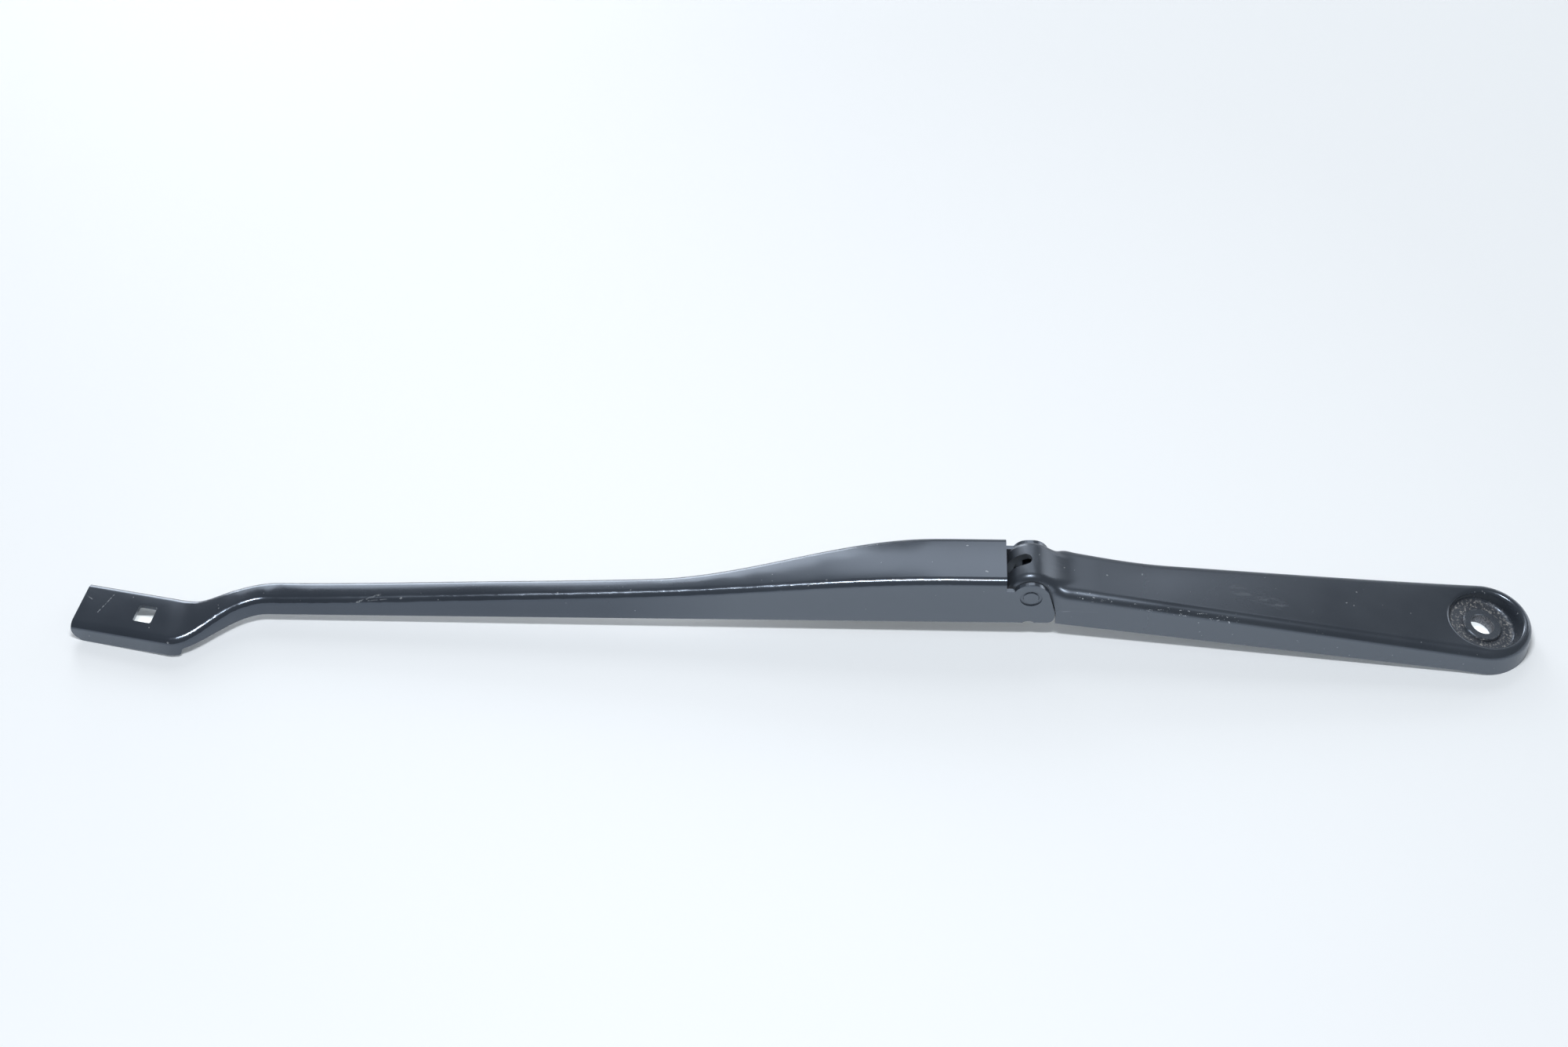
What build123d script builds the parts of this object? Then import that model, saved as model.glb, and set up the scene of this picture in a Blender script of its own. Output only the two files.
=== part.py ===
# Wiper arm: a pressed-steel arm hinged to a die-cast mounting head, with its tension spring.
# Millimetres. The arm lies at rest on its tip and on the round end of its head, +Z up.
# The origin is on the spindle axis, in the middle of the nut seat. X runs along the arm,
# the tip lies towards -X, and -Y is the side of the straight near wall.
from build123d import *
from math import asin, atan2, cos, degrees, radians, sin, sqrt, tan
import os

# The hinge seen from the spindle, and how high each stands over the surface
spindle_to_hinge = 170.2
hinge_side_offset = 8.4
hinge_height = 21.3
seat_height = 8.2
spindle_lean = 15.0

# Pressed-steel arm
sheet = 1.8
bend_radius = 3.0
channel_width = 23.6
channel_top = 8.8
channel_end_gap = 9.3
rod_width = 9.4
rod_width_at_bend = 10.6
widening_start = 142.0
widening_end = 37.0
bend_from_tip = 73.0

# Ears of the arm at the hinge
ear_radius = 7.1
ear_reach = 9.2
ear_depth = 13.4
ear_corner = 3.0
ear_slope_end = 7.4
ear_notch = 3.4
ear_nick_width = 4.2
ear_nick_depth = 0.8
dimple_radius = 4.2
dimple_depth = 0.5

# Blade holder at the tip
tip_reach = 358.0
tip_side_offset = 11.3
tip_turn = 12.4
tip_length = 40.0
tip_width = 22.4
tip_height = 8.0
tip_rise = 1.7
tip_corner = 5.5
step_from_tip = 40.0
step_corner = 1.3
skirt_height = 4.3
button_length = 7.1
button_width = 8.2
button_corner = 0.8
button_from_end = 25.9

# Rivet that makes the hinge
rivet_radius = 3.0
rivet_running_gap = 0.05
rivet_head_radius = 5.0
rivet_head_height = 2.6
rivet_rim = 0.7

# Mounting head
head_wall = 2.8
head_width_at_hinge = 24.2
head_edge_radius = 4.0
knuckle_radius = 9.2
knuckle_edge_radius = 3.0
ear_side_gap = 0.25
end_radius = 18.5
waist_position = 52.0
waist_half_width = 8.2
waist_turn = 0.5
fall_angle = 33.0
fall_radius = 10.0
shoulder = 15.5
shoulder_height = 3.2
top_slope = 4.8
stop_gap = 0.4
pad_height_at_stop = 8.0
pad_height_at_bend = 1.8
bottom_bend = 160.0
pad_start = 176.0
ear_pocket_room = 2.0
ear_pocket_edge = 1.2
ear_pocket_floor = 7.7
lug_thickness = 3.6
web_end_drop = 4.0
slot_width = 5.4
slot_end = 2.6
slot_end_gap = 0.35
rib_count = 4
rib_thickness = 2.0
rib_depth = 5.0
first_rib = 40.0
rib_spacing = 26.0

# Spindle seat, on planes square to the leaning spindle
lip_radius = 14.0
lip_rounding = 1.6
recess_foot_radius = 13.0
recess_curve = 2.0
seat_radius = 7.7
seat_edge = 0.4
groove_depth = 1.3
recess_backing = 2.4
backing_radius = 16.4
hub_radius = 9.6
hub_length = 5.6
bore_radius = 4.8
bore_land = 2.4
bore_foot_radius = 5.6

# Hook link and its cross pin in the head
cross_pin_reach = 5.0
cross_pin_drop = 6.0
cross_pin_radius = 2.2
link_thickness = 3.6
link_band = 3.0
link_hook_band = 2.2
link_pin_gap = 0.1
link_reach = 25.0
link_turn_when_lifted = 65.3
rivet_pass_gap = 0.45
eye_radius = 3.6
eye_hole_radius = 1.7

# Tension spring and its anchor in the channel
wire_radius = 1.2
coil_radius = 4.2
coil_turns = 14
coil_start = 10.0
coil_end = 12.0
anchor_reach = 98.0
anchor_side_offset = 4.6
anchor_drop = 7.0
anchor_radius = 2.0
anchor_gap = 0.15

# Places worked out from the sizes above
hinge = Vector(-spindle_to_hinge, hinge_side_offset, hinge_height - seat_height)
side_view = Plane(origin=hinge, x_dir=(1, 0, 0), z_dir=(0, -1, 0))
from_far_side = side_view.offset(-100)
plan_view = Plane(origin=hinge)
floor = -hinge_height
below = floor - 10
above = channel_top + 20


def along(angle, length=1.0):
    """A step of the given length in the direction of an angle in degrees."""
    return Vector(length * cos(radians(angle)), length * sin(radians(angle)))


def bridge(start, end):
    """A curve that leaves and arrives along X, with its slope greatest half way."""
    third = (end.X - start.X) / 3
    return Bezier(start, start + Vector(third, 0), end - Vector(third, 0), end)


def upper_long_edges(part, lowest):
    """Edges above a height that are not square across the piece: the sides of its top."""
    chosen = []
    for edge in part.edges():
        middle = edge @ 0.5
        direction = edge % 0.5
        if middle.Z > lowest(middle.X) and abs(direction.X) > 0.5:
            chosen.append(edge)
    return chosen


rod_end = tip_reach - bend_from_tip
ear_pocket_radius = max(ear_reach, knuckle_radius) + ear_pocket_room
step_position = tip_reach - step_from_tip

# The arm from above: a straight near side, a far side that widens to the hinge,
# a double bend to the near side, and the blade holder turned in plan
tip_axis = along(-tip_turn)
tip_across = along(90 - tip_turn)
tip_end = Vector(-tip_reach, -tip_side_offset)
tip_near = tip_end + tip_axis * (tip_length - 2) - tip_across * tip_width / 2
tip_far = tip_end + tip_axis * (tip_length + 2) + tip_across * tip_width / 2


def moved_inwards(points, inward):
    """The points of a line or of a Bezier curve, moved to run a distance to its right."""
    ways = [(after - before).normalized() for before, after in zip(points, points[1:])]
    sides = [Vector(way.Y, -way.X) for way in ways]
    moved = []
    for point, before, after in zip(points, sides[:1] + sides, sides + sides[-1:]):
        both = before + after
        moved.append(point + both * (2 * inward / both.dot(both)))
    return moved


def side_of_outline(stretches, inward):
    """Draw one side of an outline and return its two ends."""
    for points in stretches:
        if len(points) == 2:
            drawn = Line(moved_inwards(points, inward))
        else:
            drawn = Bezier(moved_inwards(points, inward))
        if points is stretches[0]:
            start = drawn @ 0
    return start, drawn @ 1


def arm_plan(overrun, inward):
    """The outline of the arm from above, run on past both open ends by overrun."""
    near = -channel_width / 2
    far = channel_width / 2
    bend_near = Vector(-rod_end - 2, near)
    bend_far = Vector(-rod_end + 2, near + rod_width_at_bend)
    rod_far = Vector(-widening_start, near + rod_width)
    rod_way = (rod_far - bend_far).normalized()
    wide_far = Vector(-widening_end, far)
    third = (widening_start - widening_end) / 3
    end = tip_end - tip_axis * overrun
    near_side = [
        [Vector(ear_reach + overrun, near), bend_near],
        [bend_near, bend_near - Vector(15, 0), tip_near + tip_axis * 12, tip_near],
        [tip_near, end - tip_across * tip_width / 2],
    ]
    far_side = [
        [end + tip_across * tip_width / 2, tip_far],
        [tip_far, tip_far + tip_axis * 8, bend_far - rod_way * 15, bend_far],
        [bend_far, rod_far],
        [rod_far, rod_far + rod_way * third, wide_far - Vector(third, 0), wide_far],
        [wide_far, Vector(ear_reach + overrun, far)],
    ]
    with BuildLine() as outline:
        near_start, near_stop = side_of_outline(near_side, inward)
        far_start, far_stop = side_of_outline(far_side, inward)
        Line(near_stop, far_start)
        Line(far_stop, near_start)
    return outline.line


def arm_top(lowered, overrun):
    """The top line of the arm from the side, from the tip to the hinge."""
    rise = tan(radians(tip_rise))
    tip_start = Vector(-tip_reach - 4 - overrun, floor + tip_height - lowered - overrun * rise)
    tip_stop = Vector(-rod_end - 37, floor + tip_height + (tip_reach + 4 - rod_end - 37) * rise - lowered)
    rod_start = Vector(-rod_end - 15, -9.3 - lowered)
    knee = Vector(-30, channel_top - 0.4 - lowered)
    hinge_stop = Vector(ear_reach + overrun, channel_top - lowered)
    return tip_start, tip_stop, rod_start, knee, hinge_stop


# The form of the pressing without its hollow
with BuildPart() as arm:
    with BuildSketch(plan_view.offset(below)):
        make_face(arm_plan(0, 0))
    extrude(amount=above - below)
    with BuildSketch(from_far_side):
        with BuildLine():
            a, b, c, d, e = arm_top(0, 4)
            Line(a, b)
            bridge(b, c)
            Spline(c, (-211, -5.6), (-122, 0.2), d, tangents=[(1, 0), (1, 0.02)])
            Line(d, e)
            Polyline(e, (e.X, below), (a.X, below), a)
        make_face()
    extrude(amount=200, mode=Mode.INTERSECT)
    fillet(upper_long_edges(arm.part, lambda x: hinge.Z - 15), bend_radius)

# Its hollow, one sheet thickness inside and open at both ends
with BuildPart() as arm_hollow:
    with BuildSketch(plan_view.offset(below)):
        make_face(arm_plan(12, sheet))
    extrude(amount=above - below)
    with BuildSketch(from_far_side):
        with BuildLine():
            a, b, c, d, e = arm_top(sheet, 14)
            Line(a, b)
            bridge(b, c)
            Spline(c, (-211, -5.6 - sheet), (-122, 0.2 - sheet), d, tangents=[(1, 0), (1, 0.02)])
            Line(d, e)
            Polyline(e, (e.X, below), (a.X, below), a)
        make_face()
    extrude(amount=200, mode=Mode.INTERSECT)
    fillet(upper_long_edges(arm_hollow.part, lambda x: hinge.Z - 17), bend_radius - sheet)
# The lower edges: level with the surface at the tip, a step up, then rising to the ears
skirt = floor + skirt_height
with arm:
    with BuildSketch(from_far_side):
        rise = tan(radians(tip_rise))
        step_foot = Vector(-step_position, floor + (tip_reach + 2.5 - step_position) * rise)
        step_head = Vector(-step_position + 0.5, skirt)
        ear_foot = Vector(ear_reach + 4, -ear_depth + 0.05)
        with BuildLine():
            Polyline(
                (-tip_reach - 20, floor - 17.5 * rise),
                step_foot,
                step_head,
                (-rod_end, skirt),
                ear_foot,
                (ear_foot.X, below - 5),
                (-tip_reach - 20, below - 5),
                close=True,
            )
        make_face()
        fillet(vertices().sort_by_distance(step_foot)[0], step_corner)
        fillet(vertices().sort_by_distance(step_head)[0], step_corner)
    extrude(amount=200, mode=Mode.SUBTRACT)
    add(arm_hollow.part, mode=Mode.SUBTRACT)

# The ears: the top of the channel stops short, and each wall runs on round the hinge
tangent = asin(ear_radius / sqrt(ear_reach**2 + ear_slope_end**2))
slope_angle = degrees(atan2(ear_slope_end, -ear_reach) - tangent)
slope_length = sqrt(ear_reach**2 + ear_slope_end**2 - ear_radius**2)
with arm:
    with BuildSketch(from_far_side):
        slope_foot = Vector(ear_reach, -ear_slope_end)
        slope_head = slope_foot + along(slope_angle, slope_length)
        ear_start = Vector(-sqrt(ear_radius**2 - ear_notch**2), ear_notch)
        with BuildLine():
            ThreePointArc(ear_start, (0, ear_radius), slope_head)
            Polyline(
                slope_head,
                slope_foot,
                (ear_reach + 5, -ear_slope_end),
                (ear_reach + 5, above),
                (-channel_end_gap, above),
                (-channel_end_gap, ear_notch),
                ear_start,
            )
        make_face()
    extrude(amount=200, mode=Mode.SUBTRACT)
    with BuildSketch(from_far_side):
        with Locations((ear_reach - ear_corner, -ear_depth + ear_corner)):
            Rectangle(2 * ear_corner, 2 * ear_corner, align=(Align.MIN, Align.MAX))
            Circle(ear_corner, mode=Mode.SUBTRACT)
    extrude(amount=200, mode=Mode.SUBTRACT)
    with BuildSketch(from_far_side):
        nick_radius = ear_nick_width**2 / (8 * ear_nick_depth) + ear_nick_depth / 2
        with Locations((-0.4, -ear_depth + ear_nick_depth - nick_radius)):
            Circle(nick_radius)
    extrude(amount=200, mode=Mode.SUBTRACT)
    with BuildSketch(from_far_side):
        Circle(rivet_radius)
    extrude(amount=200, mode=Mode.SUBTRACT)
    with BuildSketch(plan_view.offset(below)):
        with Locations((-channel_end_gap, 0)):
            Rectangle(40, channel_width - 2 * sheet, align=(Align.MIN, Align.CENTER))
    extrude(amount=above - below, mode=Mode.SUBTRACT)
    with BuildSketch(side_view.offset(channel_width / 2 - dimple_depth)):
        Circle(dimple_radius)
    extrude(amount=10, mode=Mode.SUBTRACT)

# The tip: a rounded lower corner at its end and the window for the button of the blade
tip_side = Plane(
    origin=hinge + tip_end + Vector(0, 0, floor),
    x_dir=tip_axis,
    z_dir=-tip_across,
)
tip_floor = Plane(origin=tip_side.origin, x_dir=tip_axis)
with arm:
    with BuildSketch(tip_side.offset(-100)):
        with Locations((tip_corner, tip_corner)):
            Rectangle(2 * tip_corner, 2 * tip_corner, align=(Align.MAX, Align.MAX))
            Circle(tip_corner, mode=Mode.SUBTRACT)
    extrude(amount=200, mode=Mode.SUBTRACT)
    with BuildSketch(tip_floor.offset(3)):
        with Locations((button_from_end, 0)):
            RectangleRounded(button_length, button_width, button_corner)
    extrude(amount=10, mode=Mode.SUBTRACT)

# The pin that the spring hooks on, let into both side walls from inside
anchor = hinge + Vector(-anchor_reach, -anchor_side_offset, -anchor_drop)
near_seat = hinge.Y - channel_width / 2 + sheet / 2
far_seat = anchor.Y + (anchor.Y - near_seat) + 0.6
with BuildPart() as spring_anchor:
    with BuildSketch(Plane(origin=(anchor.X, near_seat, anchor.Z), x_dir=(1, 0, 0), z_dir=(0, 1, 0))):
        Circle(anchor_radius)
    extrude(amount=far_seat - near_seat)
with arm:
    add(spring_anchor.part, mode=Mode.SUBTRACT)

# The rivet: a domed head on the far ear, a peened end in the dimple of the near ear
with BuildPart() as rivet:
    with BuildSketch(plan_view):
        with BuildLine():
            far_face = channel_width / 2
            near_face = -channel_width / 2 + 0.1
            rim = Vector(rivet_head_radius, far_face + rivet_rim)
            crown = Vector(0, far_face + rivet_head_height)
            dome = crown.Y - rim.Y
            dome_radius = (rivet_head_radius**2 + dome**2) / (2 * dome)
            Polyline(
                (0, near_face),
                (rivet_radius - 0.25, near_face),
                (rivet_radius, near_face + 0.25),
                (rivet_radius, far_face),
                (rivet_head_radius, far_face),
                rim,
            )
            CenterArc(
                (0, crown.Y - dome_radius),
                dome_radius,
                90 - degrees(asin(rivet_head_radius / dome_radius)),
                degrees(asin(rivet_head_radius / dome_radius)),
            )
            Line(crown, (0, near_face))
        make_face()
    revolve(axis=Axis(hinge, (0, 1, 0)))

# The mounting head from above: near side straight, far side waisted, round at the spindle
spindle = Vector(spindle_to_hinge, -hinge_side_offset)
head_start = ear_reach + stop_gap


def head_plan(inward):
    """The outline of the mounting head from above."""
    near_start = Vector(head_start, -head_width_at_hinge / 2)
    far_start = Vector(head_start, head_width_at_hinge / 2)
    to_spindle = spindle - near_start
    swing = degrees(atan2(to_spindle.Y, to_spindle.X) - asin(end_radius / to_spindle.length))
    near_stop = near_start + along(swing, sqrt(to_spindle.length**2 - end_radius**2))
    far_stop = spindle + along(92, end_radius)
    waist = Vector(waist_position, waist_half_width)
    waist_way = along(180 + waist_turn)
    near_side = [[near_stop, near_start]]
    far_side = [
        [far_start, far_start + along(-7, 15), waist + waist_way * 15, waist],
        [waist, waist - waist_way * 45, far_stop + along(182, 40), far_stop],
    ]
    with BuildLine() as outline:
        near_first, near_last = side_of_outline(near_side, inward)
        far_first, far_last = side_of_outline(far_side, inward)
        ThreePointArc(far_last, spindle + along(0, end_radius - inward), near_first)
        Line(near_last, far_first)
    return outline.line


def head_top(lowered, length):
    """The top line of the head: down from the knuckle, then along its gentle slope."""
    start = along(90 - fall_angle, knuckle_radius - lowered)
    on_slope = Vector(shoulder, shoulder_height) - along(90 - top_slope, lowered)
    down = along(-fall_angle)
    slope = along(-top_slope)
    reach = (on_slope - start).cross(slope).Z / down.cross(slope).Z
    return start, start + down * reach, on_slope + slope * length


bottom_start = Vector(head_start, floor + pad_height_at_stop)
bottom_knee = Vector(bottom_bend, floor + pad_height_at_bend)
bottom_rise = (bottom_start.Y - bottom_knee.Y) / (bottom_knee.X - bottom_start.X)

with BuildPart() as head:
    with BuildSketch(plan_view.offset(below)):
        make_face(head_plan(0))
    extrude(amount=above - below)
    with BuildSketch(from_far_side):
        with BuildLine():
            start, foot, far_end = head_top(0, 200)
            FilletPolyline(start, foot, far_end, radius=fall_radius)
            Polyline(
                far_end,
                (far_end.X, floor),
                (pad_start, floor),
                bottom_knee,
                bottom_start,
                (start.X, bottom_start.Y),
                start,
            )
        make_face()
    extrude(amount=200, mode=Mode.INTERSECT)
    rounded = []
    for edge in head.part.edges():
        middle = edge @ 0.5
        above_pad = middle.Z - hinge.Z > shoulder_height - 0.09 * (middle.X - hinge.X) - 3
        across = abs((edge % 0.5).Y) > 0.9 and middle.X < 0
        if above_pad and not across:
            rounded.append(edge)
    fillet(rounded, head_edge_radius)
    with BuildSketch(from_far_side):
        Circle(ear_pocket_radius)
        with Locations((0, -ear_pocket_floor)):
            Rectangle(40, 40, align=(Align.CENTER, Align.MAX), mode=Mode.SUBTRACT)
    extrude(amount=200, mode=Mode.SUBTRACT)
    pocket_rim = []
    for edge in head.part.edges():
        from_hinge = [edge @ t - hinge for t in (0.1, 0.5, 0.9)]
        on_pocket = all(abs(sqrt(v.X**2 + v.Z**2) - ear_pocket_radius) < 0.01 for v in from_hinge)
        if on_pocket and abs((edge % 0.5).Y) < 0.9:
            pocket_rim.append(edge)
    fillet(pocket_rim, ear_pocket_edge)

# The knuckle between the ears
knuckle_half = channel_width / 2 - sheet - ear_side_gap
with BuildPart() as knuckle:
    with BuildSketch(side_view):
        with BuildLine():
            start, foot, inner_end = head_top(0, 9)
            to_hinge = sqrt(bottom_start.X**2 + bottom_start.Y**2)
            lean = atan2(-bottom_start.Y, -bottom_start.X) + asin(knuckle_radius / to_hinge)
            bottom_touch = bottom_start + along(degrees(lean), sqrt(to_hinge**2 - knuckle_radius**2))
            ThreePointArc(start, (-knuckle_radius, 0), bottom_touch)
            Polyline(
                bottom_touch,
                bottom_start,
                (inner_end.X, bottom_start.Y - (inner_end.X - bottom_start.X) * bottom_rise),
                inner_end,
            )
            FilletPolyline(start, foot, inner_end, radius=fall_radius)
        make_face()
    extrude(amount=knuckle_half, both=True)
    rounded = []
    for edge in knuckle.part.edges():
        middle = edge @ 0.5
        beside = abs(abs(middle.Y - hinge.Y) - knuckle_half) < 0.01
        if beside and middle.Z > hinge.Z - 9 and middle.X < hinge.X + inner_end.X - 0.1:
            rounded.append(edge)
    fillet(rounded, knuckle_edge_radius)

# The hollow below, less what stands in it: the hub, the backing of the recess and the ribs
spindle_axis = Vector(sin(radians(spindle_lean)), 0, cos(radians(spindle_lean)))
seat_section = Plane(origin=(0, 0, 0), x_dir=(spindle_axis.Z, 0, -spindle_axis.X), z_dir=(0, -1, 0))
seat_plane = Plane(origin=(0, 0, 0), x_dir=(spindle_axis.Z, 0, -spindle_axis.X), z_dir=spindle_axis)
hollow_start = ear_pocket_radius + head_wall
lug_inner = knuckle_half - lug_thickness
inner_radius = knuckle_radius - head_wall
with BuildPart() as hollow:
    with BuildSketch(plan_view.offset(below)):
        make_face(head_plan(head_wall))
        with Locations((hollow_start, 0)):
            Rectangle(60, 80, align=(Align.MAX, Align.CENTER), mode=Mode.SUBTRACT)
        with Locations((hollow_start + 2, 0)):
            Rectangle(60, 2 * lug_inner, align=(Align.MAX, Align.CENTER))
    extrude(amount=above - below)
    with BuildSketch(from_far_side):
        with BuildLine():
            start, foot, far_end = head_top(head_wall, 200)
            web_end = Vector(-sqrt(inner_radius**2 - web_end_drop**2), -web_end_drop)
            FilletPolyline(start, foot, far_end, radius=fall_radius + head_wall)
            Polyline(
                far_end,
                (far_end.X, below),
                (-30, below),
                (-30, -web_end_drop),
                web_end,
            )
            ThreePointArc(web_end, along(150, inner_radius), start)
        make_face()
    extrude(amount=200, mode=Mode.INTERSECT)
    with BuildSketch(seat_plane.offset(-groove_depth - recess_backing)):
        Circle(backing_radius)
    extrude(amount=20, mode=Mode.SUBTRACT)
    with BuildSketch(seat_plane.offset(-hub_length)):
        Circle(hub_radius)
    extrude(amount=20, mode=Mode.SUBTRACT)
    for rib in range(rib_count):
        rib_x = first_rib + rib * rib_spacing
        rib_foot = far_end.Y + (far_end.X - rib_x) * tan(radians(top_slope)) - rib_depth
        with BuildSketch(from_far_side):
            with Locations((rib_x, rib_foot)):
                Rectangle(rib_thickness, 30, align=(Align.CENTER, Align.MIN))
        extrude(amount=200, mode=Mode.SUBTRACT)

# The link that the spring pulls on, at rest and with the arm lifted all the way
cross_pin = Vector(cross_pin_reach, -cross_pin_drop)
anchor_side = Vector(-anchor_reach, -anchor_drop)
eye = cross_pin + (anchor_side - cross_pin).normalized() * link_reach
passing = along(degrees(atan2(cross_pin_drop, -cross_pin_reach)) + link_turn_when_lifted, cross_pin.length)
passing = cross_pin + passing
band_start = passing + Vector(-8.6, 1.5)
lifted_eye = cross_pin + (eye - cross_pin).rotate(Axis.Z, -link_turn_when_lifted)
lifted_band = cross_pin + (band_start - cross_pin).rotate(Axis.Z, -link_turn_when_lifted)
lifted_way = (lifted_eye - lifted_band).normalized()
lifted_edge = lifted_band + Vector(lifted_way.Y, -lifted_way.X) * link_band / 2
lifted_edge = lifted_edge - lifted_way * knuckle_radius
slot_end_plane = Plane(
    origin=hinge + Vector(lifted_edge.X, 0, lifted_edge.Y),
    x_dir=(lifted_way.Y, 0, -lifted_way.X),
    z_dir=(lifted_way.X, 0, lifted_way.Y),
)
slot_end_round = sqrt(slot_width**2 - link_thickness**2) / 2
with head:
    add(knuckle.part)
    add(hollow.part, mode=Mode.SUBTRACT)
    # The slot that the hook link swings through
    with BuildSketch(plan_view.offset(-web_end_drop - 1)):
        with Locations((-slot_end - slot_width / 2, 0)):
            Rectangle(40, slot_width, align=(Align.MAX, Align.CENTER))
            Circle(slot_width / 2)
    extrude(amount=40, mode=Mode.SUBTRACT)
    # Its end leans as the link does when the arm is lifted all the way
    with BuildSketch(slot_end_plane):
        with Locations((slot_end_gap - slot_end_round, 0)):
            Rectangle(6, slot_width, align=(Align.MAX, Align.CENTER))
            Circle(slot_width / 2)
    extrude(amount=3 * knuckle_radius, mode=Mode.SUBTRACT)
    # Running hole for the rivet and tight hole for the cross pin
    with BuildSketch(from_far_side):
        Circle(rivet_radius + rivet_running_gap)
        with Locations(cross_pin):
            Circle(cross_pin_radius)
    extrude(amount=200, mode=Mode.SUBTRACT)
    # The recess with its raised seat, and the bore for the spindle
    recess_foot = seat_section.from_local_coords(Vector(recess_foot_radius, -groove_depth, 0))
    flare = (lip_radius - recess_foot_radius) / 4.5
    with BuildSketch(seat_section):
        with BuildLine():
            Polyline(
                (seat_radius, -groove_depth),
                (recess_foot_radius, -groove_depth),
                (recess_foot_radius + 9 * flare, 9 - groove_depth),
                (0, 9 - groove_depth),
                (0, 0),
                (seat_radius - seat_edge, 0),
                (seat_radius, -seat_edge),
                close=True,
            )
        make_face()
        fillet(vertices().sort_by_distance(recess_foot)[0], recess_curve)
    revolve(axis=Axis((0, 0, 0), spindle_axis), mode=Mode.SUBTRACT)
    lip = []
    for edge in head.part.edges():
        on_lip = True
        for t in (0, 0.25, 0.5, 0.75, 1):
            height = (edge @ t).dot(spindle_axis)
            from_axis = (edge @ t - spindle_axis * height).length
            on_wall = recess_foot_radius + flare * (height + groove_depth)
            on_lip = on_lip and height > 0.5 and abs(from_axis - on_wall) < 0.01
        if on_lip and edge.geom_type != GeomType.LINE:
            lip.append(edge)
    fillet(lip, lip_rounding)
    with BuildSketch(seat_section):
        with BuildLine():
            Polyline(
                (0, 1),
                (bore_radius, 1),
                (bore_radius, -bore_land),
                (bore_foot_radius, -hub_length),
                (bore_foot_radius, -hub_length - 3),
                (0, -hub_length - 3),
                close=True,
            )
        make_face()
    revolve(axis=Axis((0, 0, 0), spindle_axis), mode=Mode.SUBTRACT)

# The cross pin that the link hangs on, pressed through both lugs
with BuildPart() as link_pin:
    with BuildSketch(side_view):
        with Locations(cross_pin):
            Circle(cross_pin_radius)
    extrude(amount=knuckle_half - 0.15, both=True)

# The hook link: an eye, a band led round the space the rivet needs, and a hook on the pin
pass_radius = rivet_radius + rivet_pass_gap + link_band / 2
hook_radius = cross_pin_radius + link_pin_gap + link_hook_band / 2
with BuildPart() as link:
    with BuildSketch(side_view):
        with BuildLine() as band:
            bend_start = passing + along(190, pass_radius)
            bend_end = passing + along(290, pass_radius)
            hook_start = cross_pin + along(-50, hook_radius)
            Line(eye, band_start)
            Spline(band_start, bend_start, tangents=[(1, -0.05), along(280)])
            ThreePointArc(bend_start, passing + along(240, pass_radius), bend_end)
            Spline(bend_end, hook_start, tangents=[along(20), along(40)])
        trace(band.edges(), line_width=link_band)
        with BuildLine() as hook:
            hook_end = cross_pin + along(95, hook_radius)
            ThreePointArc(hook_start, cross_pin + along(20, hook_radius), hook_end)
        trace(hook.edges(), line_width=link_hook_band)
        with Locations(hook_end):
            Circle(link_hook_band / 2)
        with Locations(eye):
            Circle(eye_radius)
            Circle(eye_hole_radius, mode=Mode.SUBTRACT)
        with Locations(cross_pin):
            Circle(cross_pin_radius + link_pin_gap, mode=Mode.SUBTRACT)
    extrude(amount=link_thickness / 2, both=True)

# The tension spring, on a line from its anchor to the eye of the link
eye_in_space = hinge + Vector(eye.X, 0, eye.Y)
pull = (eye_in_space - anchor).normalized()
sideways = Vector(-pull.Y, pull.X, 0).normalized()
spring_frame = Plane(origin=anchor, x_dir=pull, z_dir=pull.cross(sideways))
spring_length = (eye_in_space - anchor).length
coil_length = spring_length - coil_start - coil_end
pitch = coil_length / (coil_turns + 0.25)
first_hook = Vector(coil_radius - wire_radius - anchor_radius - anchor_gap, 0, 0)
last_hook = Vector(spring_length + 0.2 - coil_radius, 0, 0)


def placed(x, y, z):
    """A point of the spring's own frame, in space."""
    return spring_frame.from_local_coords(Vector(x, y, z))


coil_base = Plane(origin=placed(coil_start, 0, 0), x_dir=spring_frame.z_dir, z_dir=pull)
coils = Helix(pitch=pitch, height=coil_length, radius=coil_radius).moved(coil_base.location)
with BuildPart() as spring:
    with BuildLine() as wire:
        add(coils)
        leave = coils % 0
        arrive = coils % 1
        coils_start = coils @ 0
        coils_stop = coils @ 1
        hook_top = placed(first_hook.X, 0, coil_radius)
        Bezier(coils_start, coils_start - leave * 3, hook_top + pull * 4, hook_top)
        ThreePointArc(
            hook_top,
            placed(first_hook.X + coil_radius * cos(radians(215)), 0, coil_radius * sin(radians(215))),
            placed(first_hook.X + coil_radius * cos(radians(340)), 0, coil_radius * sin(radians(340))),
        )
        hook_side = placed(last_hook.X, -coil_radius, 0)
        Bezier(coils_stop, coils_stop + arrive * 2.6, hook_side - pull * 3, hook_side)
        ThreePointArc(
            hook_side,
            placed(last_hook.X + coil_radius * cos(radians(35)), coil_radius * sin(radians(35)), 0),
            placed(last_hook.X + coil_radius * cos(radians(160)), coil_radius * sin(radians(160)), 0),
        )
    end_of_wire = wire.wires()[0] @ 0
    with BuildSketch(Plane(origin=end_of_wire, z_dir=wire.wires()[0] % 0)):
        RegularPolygon(wire_radius, 6)
    sweep(path=wire.wires()[0])

arm.part.label = "arm_channel"
rivet.part.label = "hinge_rivet"
spring_anchor.part.label = "spring_anchor"
spring.part.label = "spring"
link.part.label = "spring_link"
link_pin.part.label = "link_pin"
head.part.label = "mounting_head"

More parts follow.
